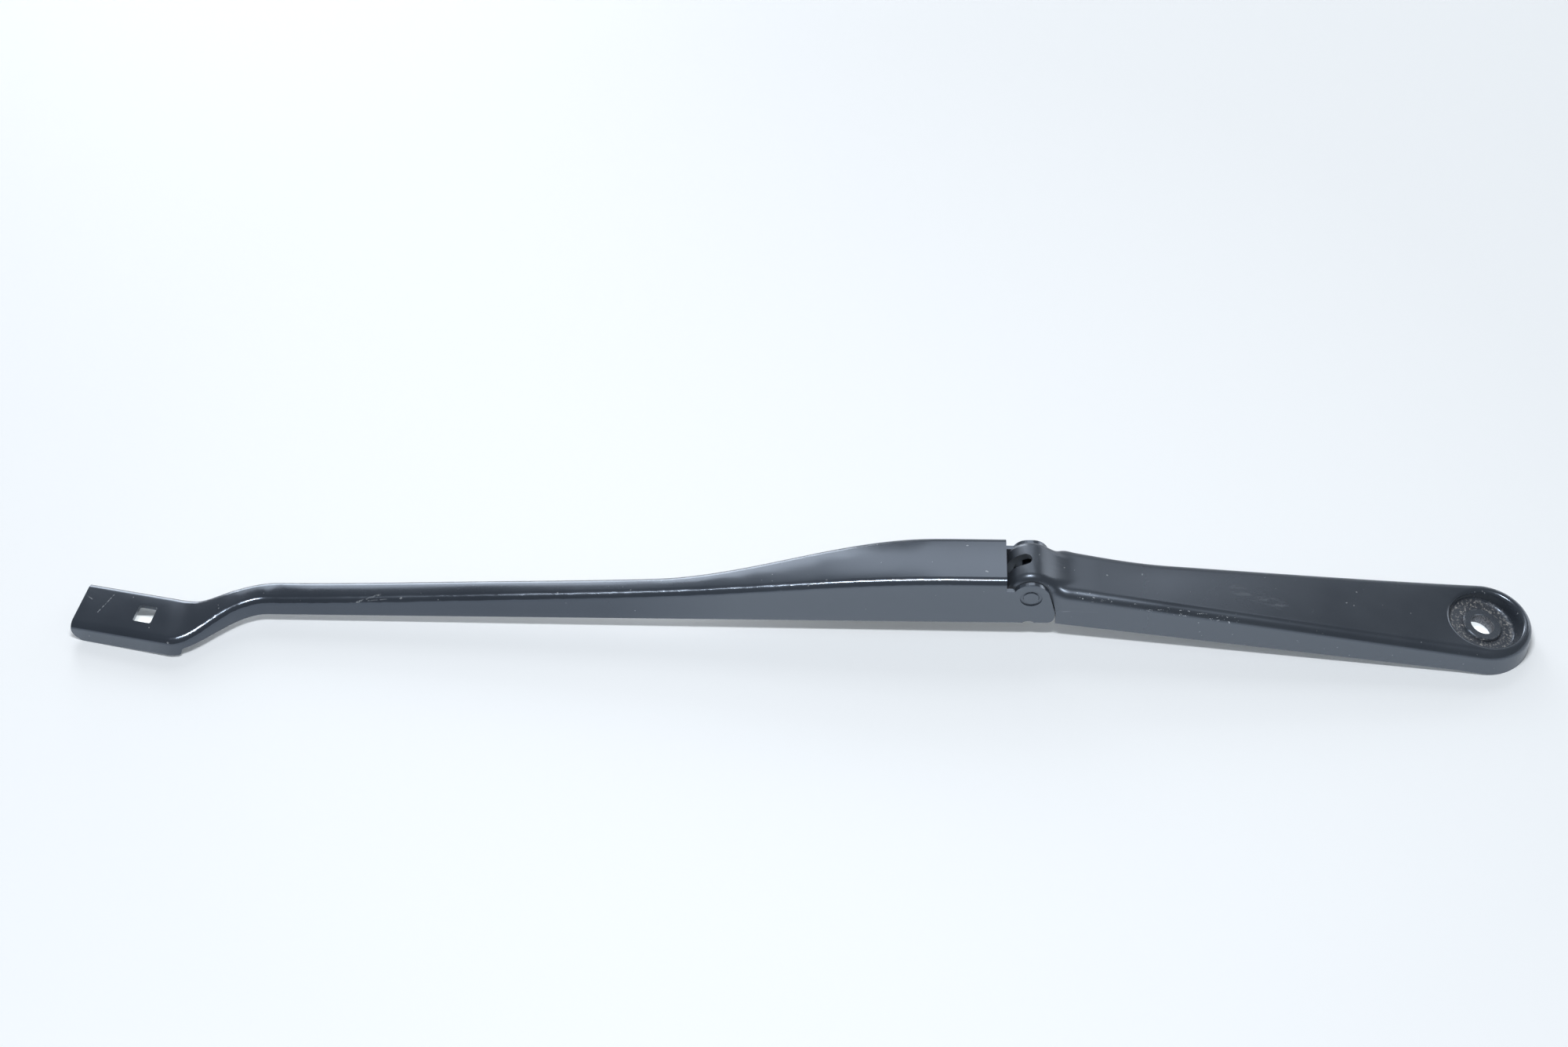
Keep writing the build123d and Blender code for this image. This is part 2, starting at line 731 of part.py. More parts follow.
os.makedirs("parts", exist_ok=True)
export_step(arm.part, "parts/arm_channel.step")
export_step(rivet.part, "parts/hinge_rivet.step")
export_step(spring_anchor.part, "parts/spring_anchor.step")
export_step(spring.part, "parts/spring.step")
export_step(link.part, "parts/spring_link.step")
export_step(link_pin.part, "parts/link_pin.step")
export_step(head.part, "parts/mounting_head.step")
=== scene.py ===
# %% [markdown]
# # A wiper arm in satin black paint
# A wiper arm is a long pressed-steel channel that turns on a die-cast head. A tension spring
# hidden in the channel presses the blade on to the glass. The solids come ready made, to size,
# with their bodies and joints. This lesson dresses them: it rounds and smooths their edges,
# paints them, winds the spring, knurls the spindle bore and lights the whole.

from math import cos, pi, radians, sin, tau

import bmesh
import bpy
import numpy as np
from mathutils import Euler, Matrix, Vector
from mathutils.bvhtree import BVHTree


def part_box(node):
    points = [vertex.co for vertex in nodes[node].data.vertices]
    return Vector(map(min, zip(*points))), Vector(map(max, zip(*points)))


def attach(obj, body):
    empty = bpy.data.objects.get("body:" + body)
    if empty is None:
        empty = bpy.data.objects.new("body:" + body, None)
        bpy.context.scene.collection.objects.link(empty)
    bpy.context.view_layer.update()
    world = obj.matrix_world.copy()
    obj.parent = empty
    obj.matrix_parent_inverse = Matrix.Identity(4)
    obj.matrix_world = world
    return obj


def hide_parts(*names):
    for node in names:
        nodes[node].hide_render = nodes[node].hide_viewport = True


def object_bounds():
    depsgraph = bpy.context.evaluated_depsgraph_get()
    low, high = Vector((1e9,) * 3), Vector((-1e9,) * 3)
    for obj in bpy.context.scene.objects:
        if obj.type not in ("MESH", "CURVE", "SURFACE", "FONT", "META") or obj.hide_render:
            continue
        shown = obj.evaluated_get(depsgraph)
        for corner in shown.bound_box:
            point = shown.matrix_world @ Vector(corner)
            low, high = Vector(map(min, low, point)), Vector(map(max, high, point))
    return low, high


MM = 0.001
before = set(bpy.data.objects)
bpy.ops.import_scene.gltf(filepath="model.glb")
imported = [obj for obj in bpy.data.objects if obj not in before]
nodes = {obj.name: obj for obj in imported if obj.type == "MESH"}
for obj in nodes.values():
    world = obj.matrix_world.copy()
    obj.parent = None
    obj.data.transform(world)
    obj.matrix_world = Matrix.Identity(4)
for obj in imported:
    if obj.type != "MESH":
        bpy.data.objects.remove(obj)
cad_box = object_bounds()
scene = bpy.context.scene
for name, solid in nodes.items():
    print(name, len(solid.data.polygons), "triangles")

# %% [markdown]
# ## The shape of light on a black arm
# Glossy black shows its form only through what it mirrors, so the surface has to be smooth
# where the real one is smooth and crisp where it is cut. The triangles of the solids are loose,
# so a copy of each is merged, its flat faces stay flat, and every sharp edge gets a narrow
# bevel. Under its paint a sheared steel edge has a radius of some tenths of a millimetre, and
# it is this small radius that draws the thin bright line along the lower edges.

# %% Merge, smooth and bevel a solid
SHARP = radians(28.0)


def new_piece(name, data):
    """An object at the origin for a mesh, a lamp or a lens, linked to the scene."""
    piece = bpy.data.objects.new(name, data)
    scene.collection.objects.link(piece)
    return piece


def dressed(node_name, bevel_mm):
    """A smooth-shaded copy of a solid with a small radius on its sharp edges."""
    mesh = bpy.data.meshes.new(node_name + "_dressed")
    work = bmesh.new()
    work.from_mesh(nodes[node_name].data)
    bmesh.ops.remove_doubles(work, verts=work.verts, dist=2e-6)
    bmesh.ops.dissolve_degenerate(work, edges=work.edges, dist=1e-6)
    for edge in work.edges:
        if len(edge.link_faces) == 2:
            edge.smooth = edge.calc_face_angle(0.0) < SHARP
    for face in work.faces:
        face.smooth = True
    work.to_mesh(mesh)
    work.free()
    piece = new_piece(node_name + "_dressed", mesh)
    bevel = piece.modifiers.new("edge radius", "BEVEL")
    bevel.width = bevel_mm * MM
    bevel.segments = 2
    bevel.limit_method = "ANGLE"
    bevel.angle_limit = SHARP
    bevel.harden_normals = True
    bevel.use_clamp_overlap = True
    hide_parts(node_name)
    return piece


# %% [markdown]
# ## Paint
# The arm wears a satin black powder coat over a thin primer. Three things make it look real: a
# faint waviness called orange peel, a roughness that changes from place to place where hands
# and road dirt have polished or dulled it, and small faults such as dust, scratches and chips.
# All of it is worked out from the position on the object, so it sticks to the piece in any
# view. The nodes are wired by short helpers that keep the recipe readable.

# %% Helpers that wire shader nodes


def node(tree, kind, inputs=None, **settings):
    """Add one node, set its properties, and link or set its inputs by name or number."""
    made = tree.nodes.new(kind)
    for key, value in settings.items():
        setattr(made, key, value)
    for key, value in (inputs or {}).items():
        if isinstance(value, bpy.types.NodeSocket):
            tree.links.new(value, made.inputs[key])
        else:
            made.inputs[key].default_value = value
    return made


def math(tree, operation, a, b=0.0):
    """One arithmetic step between values."""
    return node(tree, "ShaderNodeMath", {0: a, 1: b}, operation=operation).outputs[0]


def product(tree, value, *others):
    """Several values multiplied."""
    for other in others:
        value = math(tree, "MULTIPLY", value, other)
    return value


def vector(tree, operation, a, b):
    """One step between two vectors, or of a vector by a scale."""
    inputs = {0: a, "Scale" if operation == "SCALE" else 1: b}
    made = node(tree, "ShaderNodeVectorMath", inputs, operation=operation)
    return made.outputs["Value" if operation in ("DOT_PRODUCT", "DISTANCE") else "Vector"]


def ramp(tree, value, low, high, start=0.0, stop=1.0):
    """Map a value between two limits to another range, held at its ends."""
    inputs = {0: value, 1: low, 2: high, 3: start, 4: stop}
    return node(tree, "ShaderNodeMapRange", inputs).outputs[0]


def between(tree, value, low, high, soft):
    """1 between two limits, falling to 0 over a soft edge outside them."""
    rise = ramp(tree, value, low - soft, low)
    return product(tree, rise, ramp(tree, value, high, high + soft, 1.0, 0.0))


def mix(tree, amount, a, b):
    """Mix two colours."""
    inputs = {0: amount, 6: a, 7: b}
    return node(tree, "ShaderNodeMix", inputs, data_type="RGBA").outputs[2]


# %% [markdown]
# A material starts from its place on the object, in metres, and from the way its surface faces.
# Both are read here, with the two things most recipes need: a noise, and a bump made from it.

# %% Helpers for materials


def new_material(name):
    """An empty node material, its tree, its shader and its object coordinates."""
    material = bpy.data.materials.new(name)
    material.use_nodes = True
    tree = material.node_tree
    tree.nodes.clear()
    shader = node(tree, "ShaderNodeBsdfPrincipled")
    node(tree, "ShaderNodeOutputMaterial", {"Surface": shader.outputs[0]})
    place = node(tree, "ShaderNodeTexCoord").outputs["Object"]
    return material, tree, shader, place


def axis_value(tree, place, axis):
    """One coordinate of a place."""
    return node(tree, "ShaderNodeSeparateXYZ", {0: place}).outputs[axis]


def facing_up(tree):
    """1 where the surface looks up, 0 where it is upright, -1 where it looks down."""
    return axis_value(tree, node(tree, "ShaderNodeTexCoord").outputs["Normal"], "Z")


def noise(tree, place, scale, detail=3.0, rough=0.55, stretch=(1, 1, 1)):
    """A noise value from 0 to 1 at a place, with its scale in cells per metre."""
    mapped = node(tree, "ShaderNodeMapping", {"Vector": place, "Scale": stretch}).outputs[0]
    inputs = {"Vector": mapped, "Scale": scale, "Detail": detail, "Roughness": rough}
    return node(tree, "ShaderNodeTexNoise", inputs).outputs["Fac"]


def bump(tree, height, strength):
    """Turn a height of two hundredths of a millimetre into a bent normal."""
    inputs = {"Height": height, "Distance": 0.00002, "Strength": strength}
    return node(tree, "ShaderNodeBump", inputs).outputs[0]


# %% [markdown]
# ## Faults that make paint look used
# A scratch is a short line at a known place, so its value is worked out from the distance to a
# segment. Dust is a fine noise cut off near its top, which leaves only small specks; they are
# lighter than the coat, because dry dust scatters light.

# %% Scratches and specks


def scratch(tree, place, start, end, width):
    """1 along a line between two points given in millimetres, fading to 0 at its width."""
    start, end = Vector(start) * MM, Vector(end) * MM
    run = end - start
    here = vector(tree, "SUBTRACT", place, start)
    share = ramp(tree, vector(tree, "DOT_PRODUCT", here, run / run.length_squared), 0.0, 1.0)
    gap = vector(tree, "DISTANCE", here, vector(tree, "SCALE", run, share))
    return ramp(tree, gap, 0.0, width * MM, 1.0, 0.0)


def specks(tree, place, per_metre, cut):
    """Small separate dots of a given fineness; the nearer the cut is to 1, the fewer."""
    return ramp(tree, noise(tree, place, per_metre, 1, 0.3), cut, cut + 0.03)


# %% [markdown]
# ## Satin black paint
# The colour goes from clean coat to a dull film in soft patches. The roughness follows the same
# patches, since a dull place is also a less glossy one. The upright sides are painted lighter, a
# painted reflection of the bright table they face. At the lower edges the coat is rubbed thin and
# painted lighter, partly a painted highlight. Where the lighter sides and a lighter stretch of
# coat lie differs from piece to piece, so the recipe takes the stretches of them along the arm, in
# millimetres.

# %% Black coat
COAT = {"IOR": 1.6, "Specular IOR Level": 1.0, "Specular Tint": (0.72, 0.83, 1.0, 1)}
DULLED = (1.8, 1.75, 1.65)
SIDE_PAINTED_REFLECTION = (0.098, 0.11, 0.125, 1)
RUBBED_EDGE_AND_HIGHLIGHT = (0.4, 0.42, 0.45, 1)
DUST = (0.42, 0.44, 0.46, 1)
HOLDER_REFLECTION_STRETCH = (-485.0, -500.0)


def along(tree, x, stretch, most=1.0):
    """0 before a stretch of the arm, rising to its most at the end of the stretch."""
    return ramp(tree, x, stretch[0] * MM, stretch[1] * MM, 0.0, most)


def black_paint(name, colour, roughness, peel, reflection_stretch, lighter_stretch=None):
    """Black coat with orange peel, worn patches, lighter stretches, a painted reflection on the
    sides, lower edges rubbed and painted lighter, and fine dust.
    """
    material, tree, shader, place = new_material(name)
    x = axis_value(tree, place, "X")
    upward = facing_up(tree)
    patches = noise(tree, place, 28, 4)
    film_and_stretch = ramp(tree, patches, 0.35, 0.75, 0.0, 0.45)
    # Along this stretch of the arm the coat is made lighter.
    if lighter_stretch:
        film_and_stretch = math(tree, "ADD", film_and_stretch, along(tree, x, lighter_stretch, 0.7))
    dull = [part * more for part, more in zip(colour, DULLED)] + [1]
    tone = mix(tree, film_and_stretch, (*colour, 1), dull)
    upright = ramp(tree, math(tree, "ABSOLUTE", upward), 0.15, 0.4, 1.0, 0.0)
    # Painted reflection: the upright sides are painted lighter, standing in for the bright table
    # they mirror.
    painted_reflection_reach = math(
        tree, "MAXIMUM", along(tree, x, reflection_stretch), along(tree, x, HOLDER_REFLECTION_STRETCH)
    )
    tone = mix(tree, product(tree, upright, painted_reflection_reach, 0.85), tone, SIDE_PAINTED_REFLECTION)
    # Where the surface looks down, at the lower edges, the coat is rubbed thin and painted
    # lighter, partly a painted highlight of the bright line along them.
    rubbed_and_highlight = ramp(tree, upward, -0.12, -0.25, 0.0, 0.7)
    tone = mix(tree, rubbed_and_highlight, tone, RUBBED_EDGE_AND_HIGHLIGHT)
    dust = specks(tree, place, 620, 0.78)
    tone = mix(tree, product(tree, dust, 0.5), tone, DUST)
    rough = ramp(tree, patches, 0.3, 0.8, roughness - 0.02, roughness + 0.06)
    for label, value in COAT.items():
        shader.inputs[label].default_value = value
    tree.links.new(bump(tree, noise(tree, place, 900, 2), peel), shader.inputs["Normal"])
    return material, tree, shader, place, tone, rough


def finish_paint(material, shader, tone, rough):
    """Link the last colour and roughness to the shader."""
    tree = material.node_tree
    tree.links.new(tone, shader.inputs["Base Color"])
    tree.links.new(rough, shader.inputs["Roughness"])
    print(material.name, len(tree.nodes), "nodes")


# %% [markdown]
# ## The arm's coat
# Two scratches on the blade holder and two on the rod catch the light, as they do on a used arm.
# They are broken up by a noise, so none is one even stroke.

# %% Arm paint
ARM_BLACK = (0.02, 0.025, 0.034)
SCRATCH_TONE = (0.62, 0.66, 0.7, 1)
SCRATCHES = (
    # from, to and width in millimetres, then strength
    ((-521.0, -7.5, 0.1), (-516.1, 1.2, 0.3), 0.22, 0.75),
    ((-526.1, 0.6, 0.0), (-524.1, -1.0, 0.1), 0.3, 0.5),
    ((-423.4, -3.1, 3.5), (-414.6, -0.8, 5.5), 0.5, 0.6),
    ((-419.0, -2.9, 4.2), (-412.0, -2.6, 5.0), 0.3, 0.5),
)
arm_paint, tree, shader, place, tone, rough = black_paint(
    "arm black powder coat", ARM_BLACK, 0.18, 0.2, (-330.0, -280.0), (-345.0, -285.0)
)
broken = ramp(tree, noise(tree, place, 1400, 2), 0.4, 0.6)
for start, end, width, strength in SCRATCHES:
    line = product(tree, scratch(tree, place, start, end, width), broken, strength)
    tone = mix(tree, line, tone, SCRATCH_TONE)
finish_paint(arm_paint, shader, tone, rough)

# %% [markdown]
# ## The head's coat
# The head has the same coat over a casting, a little rougher. What happens round the spindle is
# placed by two values about the leaning spindle axis: the distance from the axis, and the height
# along it.

# %% Head paint and the spindle axis
SPINDLE_LEAN = radians(15.0)
HEAD_BLACK = (0.026, 0.031, 0.039)
spindle_axis = Vector((sin(SPINDLE_LEAN), 0.0, cos(SPINDLE_LEAN)))
head_paint, tree, shader, place, tone, rough = black_paint(
    "head black powder coat", HEAD_BLACK, 0.22, 0.25, (-200.0, -190.0)
)
height = vector(tree, "DOT_PRODUCT", place, spindle_axis)
out = vector(tree, "DISTANCE", place, vector(tree, "SCALE", spindle_axis, height))
print("spindle axis", tuple(round(part, 3) for part in spindle_axis))

# %% [markdown]
# The nut and its washer have rubbed and trapped dirt in the ring round the spindle seat: a
# brown-grey crust with bright crumbs, more of them in the two corners of the ring. A noise pushes
# the ring in and out, so its edges are ragged.

# %% Dirt round the spindle seat
DIRT_RING, DIRT_HEIGHT = (0.0078, 0.0124), (-0.0020, 0.0006)
RING_CORNERS = ((0.0092, 0.0094), (0.0117, 0.0121))
CRUST, CRUMBS = (0.036, 0.037, 0.041, 1), (0.5, 0.48, 0.45, 1)
ragged = ramp(tree, noise(tree, place, 420, 4, 0.6), 0.2, 0.8, -0.0011, 0.0011)
ring = between(tree, math(tree, "ADD", out, ragged), *DIRT_RING, 0.0007)
ring = product(tree, ring, between(tree, height, *DIRT_HEIGHT, 0.0006))
crust = ramp(tree, noise(tree, place, 700, 4, 0.7), 0.38, 0.62, 0.15, 0.9)
inner, outer = (between(tree, out, *limits, 0.0006) for limits in RING_CORNERS)
corners = product(tree, math(tree, "MAXIMUM", inner, outer), 0.045)
crumbs = ramp(tree, math(tree, "ADD", noise(tree, place, 1100, 3, 0.75), corners), 0.56, 0.61)
tone = mix(tree, product(tree, ring, crust), tone, mix(tree, crumbs, CRUST, CRUMBS))
rough = math(tree, "ADD", rough, product(tree, ring, 0.4))
print("dirt from", DIRT_RING[0] / MM, "to", DIRT_RING[1] / MM, "mm from the axis")

# %% [markdown]
# Inside the bore the spindle has taken the coat off, and the grey grain of the zinc casting shows.

# %% Bare casting in the bore
CAST_DARK, CAST_BRIGHT = (0.06, 0.062, 0.07, 1), (0.3, 0.29, 0.3, 1)
in_bore = ramp(tree, out, 0.0060, 0.0063, 1.0, 0.0)
bare = product(tree, in_bore, ramp(tree, height, -0.0006, -0.0003, 1.0, 0.0))
grain = ramp(tree, noise(tree, place, 1900, 3, 0.6), 0.42, 0.62)
tone = mix(tree, bare, tone, mix(tree, grain, CAST_DARK, CAST_BRIGHT))
rough = math(tree, "ADD", rough, product(tree, bare, 0.35))

# %% [markdown]
# Small chips follow the near bend, where the coat is thinnest. They are found by the direction of
# the surface, on the near side and on one stretch only. A pale smear crosses the top, and the neck
# at the hinge has lost a little of its gloss.

# %% Chips, smear and worn neck
SMEAR_TONE = (0.4, 0.42, 0.45, 1)
x = axis_value(tree, place, "X")
on_bend = between(tree, facing_up(tree), 0.3, 0.72, 0.1)
near_side = ramp(tree, axis_value(tree, place, "Y"), -0.001, -0.003)
stretch = between(tree, x, -0.151, -0.096, 0.004)
flakes = ramp(tree, noise(tree, place, 1300, 3, 0.7, (0.5, 1, 1)), 0.62, 0.67)
chips = product(tree, on_bend, near_side, stretch, flakes, 0.8)
tone = mix(tree, chips, tone, SCRATCH_TONE)
streaks = ramp(tree, noise(tree, place, 300, 5, 0.6, (0.4, 1.6, 1)), 0.45, 0.65)
smear = scratch(tree, place, (-93.7, 4.8, 11.2), (-76.4, -1.3, 9.7), 3.0)
smear = product(tree, smear, streaks)
tone = mix(tree, product(tree, smear, 0.12), tone, SMEAR_TONE)
rough = math(tree, "ADD", rough, product(tree, smear, 0.1))
rough = math(tree, "ADD", rough, ramp(tree, x, -0.145, -0.12, 0.11, 0.0))
finish_paint(head_paint, shader, tone, rough)

# %% [markdown]
# ## Bare steel
# The spring is drawn wire with a dull sheen, and the link and pins are darkened by phosphate.
# Both are metals, so the colour tints the reflection and a fine grain breaks it up.

# %% Bare spring and link steel
STAINED = (0.6, 0.58, 0.55)


def bare_steel(name, colour, roughness):
    """Phosphated or drawn steel with a fine grain."""
    material, tree, shader, place = new_material(name)
    grain = noise(tree, place, 1200)
    patches = ramp(tree, noise(tree, place, 120), 0.3, 0.75)
    dark = [part * less for part, less in zip(colour, STAINED)] + [1]
    tone = mix(tree, patches, (*colour, 1), dark)
    shader.inputs["Metallic"].default_value = 1.0
    tree.links.new(bump(tree, grain, 0.4), shader.inputs["Normal"])
    rough = ramp(tree, grain, 0.2, 0.8, roughness, roughness + 0.15)
    finish_paint(material, shader, tone, rough)
    return material


spring_steel = bare_steel("drawn spring steel", (0.36, 0.36, 0.35), 0.32)
link_steel = bare_steel("phosphated link steel", (0.22, 0.215, 0.2), 0.42)

# %% [markdown]
# ## Dress the solids
# Each solid of the model is replaced by its smoothed and bevelled copy, which takes its finish and
# moves with the same body. The sheared steel of the arm and the casting get half a millimetre,
# the small link and pins less.

# %% Dress the carried-over solids
painted = {
    "arm_channel": (arm_paint, 0.5, "arm"),
    "mounting_head": (head_paint, 0.5, "head"),
    "hinge_rivet": (arm_paint, 0.2, "arm"),
    "spring_link": (link_steel, 0.2, "link"),
    "link_pin": (link_steel, 0.2, "head"),
    "spring_anchor": (link_steel, 0.15, "arm"),
}
for node_name, (material, radius, body) in painted.items():
    piece = dressed(node_name, radius)
    piece.data.materials.append(material)
    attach(piece, body)
    print(piece.name, len(piece.data.polygons), "faces, bevel", radius, "mm")

# %% [markdown]
# ## The neck between knuckle and head
# On the real casting the knuckle swells into the head in one soft saddle, close round the ears of
# the arm. The solid has the knuckle, the step and the head, but a plain step. The saddle could be
# modelled by hand, but it has a rule: it is what a ball leaves when it rolls over the step. So
# the solid is measured by rays in planes square to the arm, the ball is rolled along each row of
# measurements, and the result is a skin that lies on the solid or just above it.

# %% Measure the solid round the neck
rivet_low, rivet_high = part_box("hinge_rivet")
HINGE = (rivet_low + rivet_high) / 2
HINGE.y = 8.4 * MM
RAY_CENTRE, RAY_LENGTH = -4.0, 0.04
stations = np.arange(-6.0, 36.01, 0.25)
turns = np.radians(np.arange(-20.0, 200.1, 2.5))


def skin_distance(solid, x, turn):
    """Distance from the middle line to the outside of the head, in millimetres."""
    way = Vector((0.0, cos(turn), sin(turn)))
    middle = HINGE + Vector((x, 0.0, RAY_CENTRE)) * MM
    hit = solid.ray_cast(middle + way * RAY_LENGTH, -way)[0]
    return (hit - middle).length / MM if hit else 0.0


head_mesh = nodes["mounting_head"].data
head_solid = BVHTree.FromPolygons(
    [v.co for v in head_mesh.vertices], [p.vertices for p in head_mesh.polygons]
)
measured = np.array([[skin_distance(head_solid, x, t) for t in turns] for x in stations])
print("measured", measured.shape, "up to", measured.max().round(2), "mm")

# %% [markdown]
# A ball of radius r that rolls over a profile never reaches into its hollows. Its centre follows
# the profile raised by the ball, and the underside of the ball, taken back from there, is the
# wanted skin. In image processing the pair of steps is called a closing. Easing takes the kink
# off the far end of the step, and where it would sink under the solid the skin is raised again.
# At both ends the skin fades out, to just under the solid.

# %% Roll the ball and ease the result
BALL, SADDLE_END = 22.0, 31.0
PROUD, SUNK = 0.03, 0.08
apart = np.abs(stations[:, None] - stations[None, :])
bulge = np.where(apart < BALL, np.sqrt(np.maximum(BALL**2 - apart**2, 0.0)), -1e9)
centres = (measured[None] + bulge[:, :, None]).max(1)
rolled = (centres[None] - bulge[:, :, None]).min(1)


def eased(values, spread):
    """A running mean along the arm with bell-shaped weights."""
    weight = np.exp(-0.5 * (apart / spread) ** 2)
    return (weight / weight.sum(1, keepdims=True)) @ values


def fade(value):
    """0 to 1 with soft ends."""
    value = np.clip(value, 0, 1)
    return value**2 * (3 - 2 * value)


soft = eased(rolled, 1.3)
short = np.maximum(measured + PROUD - soft, 0.0)
short = np.where(apart[:, :, None] < 2.5, short[None], 0.0).max(1)
skin = soft + eased(short, 1.2)
share = (fade((stations - 0.5) / 3.0) * fade((SADDLE_END - stations) / 8.0))[:, None]
skin = measured + (skin - measured) * share - SUNK * (1 - share)
print("skin stands", (skin - measured).max().round(2), "mm proud at most")

# %% [markdown]
# The skin ends just above each ear: along its round, then down its slope. A narrow gap stays, as
# on the real arm. Past the ears the skin's lowest edge is sunk into the casting, so that it ends
# in no visible line.

# %% Trim the rows to the ears
EAR_RADIUS, EAR_GAP = 7.1, 0.35
EAR_SLOPE = (6.886, 1.83), (9.2, -7.4)
EDGE_SINKS = np.array([0.3, 0.2, 0.08])
ACROSS = 73
slope_top, slope_foot = (Vector((x + EAR_GAP, z)) for x, z in EAR_SLOPE)


def ear_edge(x):
    """Height of the ear's outline and its gap above the hinge, at a place along the arm."""
    if x < slope_top.x:
        return ((EAR_RADIUS + EAR_GAP) ** 2 - x**2) ** 0.5
    return np.interp(x, (slope_top.x, slope_foot.x), (slope_top.y, slope_foot.y))


rows = []
half = len(turns) // 2 + 1
for x, distances in zip(stations, skin):
    if not 0.0 <= x <= SADDLE_END:
        continue
    heights = RAY_CENTRE + distances * np.sin(turns)
    first = np.interp(ear_edge(x), heights[:half], turns[:half])
    last = pi - np.interp(ear_edge(x), heights[::-1][:half], turns[:half])
    fan = np.linspace(first, last, ACROSS)
    kept = np.interp(fan, turns, distances)
    if x > slope_foot.x:
        kept[:3] -= EDGE_SINKS
        kept[-3:] -= EDGE_SINKS[::-1]
    rows += [
        HINGE + Vector((x, d * cos(t), RAY_CENTRE + d * sin(t))) * MM
        for d, t in zip(kept, fan)
    ]
print(len(rows) // ACROSS, "rows of", ACROSS, "points")

# %% [markdown]
# The rows are joined to faces that look outward. A Solidify modifier gives the skin depth, so that
# it is closed and sinks into the casting.

# %% Build the saddle
SADDLE_DEPTH = 2.3
saddle_mesh = bpy.data.meshes.new("neck_saddle")
faces = [
    (a, a + ACROSS, a + ACROSS + 1, a + 1)
    for row in range(len(rows) // ACROSS - 1)
    for a in range(row * ACROSS, row * ACROSS + ACROSS - 1)
]
saddle_mesh.from_pydata(rows, [], faces)
saddle_mesh.polygons.foreach_set("use_smooth", [True] * len(faces))
saddle = new_piece("neck_saddle", saddle_mesh)
top_face = (len(rows) // ACROSS // 2) * (ACROSS - 1) + ACROSS // 2
if saddle_mesh.polygons[top_face].normal.z < 0:
    saddle_mesh.flip_normals()
depth = saddle.modifiers.new("depth", "SOLIDIFY")
depth.thickness = SADDLE_DEPTH * MM
depth.offset = -1.0
saddle_mesh.materials.append(head_paint)
saddle_mesh.set_sharp_from_angle(angle=radians(50))
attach(saddle, "head")
print(saddle.name, len(faces), "faces")

# %% [markdown]
# ## Geometry Nodes for what repeats
# Two things on this arm follow a rule: the knurls in the spindle bore and the wire of the spring.
# Each gets a node tree built here, with its sizes as named inputs. The helper makes the tree's
# sockets and keeps their identifiers, because a modifier's inputs are set by identifier. The
# result is turned into a plain mesh, so what is kept doesn't depend on the tree.

# %% Helpers for node trees


def node_tree(name, sizes):
    """A geometry tree with named inputs; returns the tree, its input node and identifiers."""
    tree = bpy.data.node_groups.new(name, "GeometryNodeTree")
    add = tree.interface.new_socket
    add("Geometry", in_out="INPUT", socket_type="NodeSocketGeometry")
    identifiers = {}
    for label, value in sizes.items():
        kind = "NodeSocketInt" if isinstance(value, int) else "NodeSocketFloat"
        identifiers[label] = add(label, in_out="INPUT", socket_type=kind).identifier
    add("Geometry", in_out="OUTPUT", socket_type="NodeSocketGeometry")
    return tree, tree.nodes.new("NodeGroupInput"), identifiers


def finish_tree(tree, geometry, material):
    """Realize, set the material and link to the output."""
    real = node(tree, "GeometryNodeRealizeInstances", {0: geometry}).outputs[0]
    inputs = {"Geometry": real, "Material": material}
    coated = node(tree, "GeometryNodeSetMaterial", inputs).outputs[0]
    node(tree, "NodeGroupOutput", {0: coated})


def grown(name, tree, identifiers, sizes, line_mesh=None):
    """Run a tree, on a line if one is given, and return the result as a plain mesh object."""
    carrier_name = name + "_carrier"
    carrier = new_piece(carrier_name, line_mesh or bpy.data.meshes.new(carrier_name))
    modifier = carrier.modifiers.new("tree", "NODES")
    modifier.node_group = tree
    for label, value in sizes.items():
        modifier[identifiers[label]] = value
    bpy.context.view_layer.update()
    found = carrier.evaluated_get(bpy.context.evaluated_depsgraph_get())
    mesh = bpy.data.meshes.new_from_object(found)
    mesh.name = name
    bpy.data.objects.remove(carrier)
    print(name, len(mesh.polygons), "faces from", tree.name)
    return new_piece(name, mesh)


# %% [markdown]
# ## Knurls in the spindle bore
# The spindle bites into fine ridges in the bore. Each ridge is a slim four-sided bar on its edge,
# sunk in the wall so that only its crest shows. One ring stands on the straight land at the top
# and a second leans with the cone below it.

# %% Tree for a ring of ridges


def ridge_ring(tree, given, sunk, height, length, lean):
    """Bars spaced evenly round the bore, each turned to face the axis."""
    count = given.outputs["Ridges"]
    radius = math(tree, "ADD", given.outputs["Bore radius"], sunk * MM)
    number = node(tree, "GeometryNodeInputIndex").outputs[0]
    angle = math(tree, "MULTIPLY", number, math(tree, "DIVIDE", tau, count))
    x = math(tree, "MULTIPLY", math(tree, "COSINE", angle), radius)
    y = math(tree, "MULTIPLY", math(tree, "SINE", angle), radius)
    spot = node(tree, "ShaderNodeCombineXYZ", {0: x, 1: y, 2: height * MM}).outputs[0]
    points = node(tree, "GeometryNodePoints", {"Count": count, "Position": spot}).outputs[0]
    inputs = {"Vertices": 4, "Radius": given.outputs["Ridge width"], "Depth": length * MM}
    bar = node(tree, "GeometryNodeMeshCylinder", inputs).outputs[0]
    spin = node(tree, "ShaderNodeCombineXYZ", {0: 0.0, 1: lean, 2: angle}).outputs[0]
    inputs = {"Points": points, "Instance": bar, "Rotation": spin}
    return node(tree, "GeometryNodeInstanceOnPoints", inputs).outputs[0]


# %% [markdown]
# Both rings are joined, leaned with the spindle and made into one piece, which has the head's coat
# and so the bare grey of the bore.

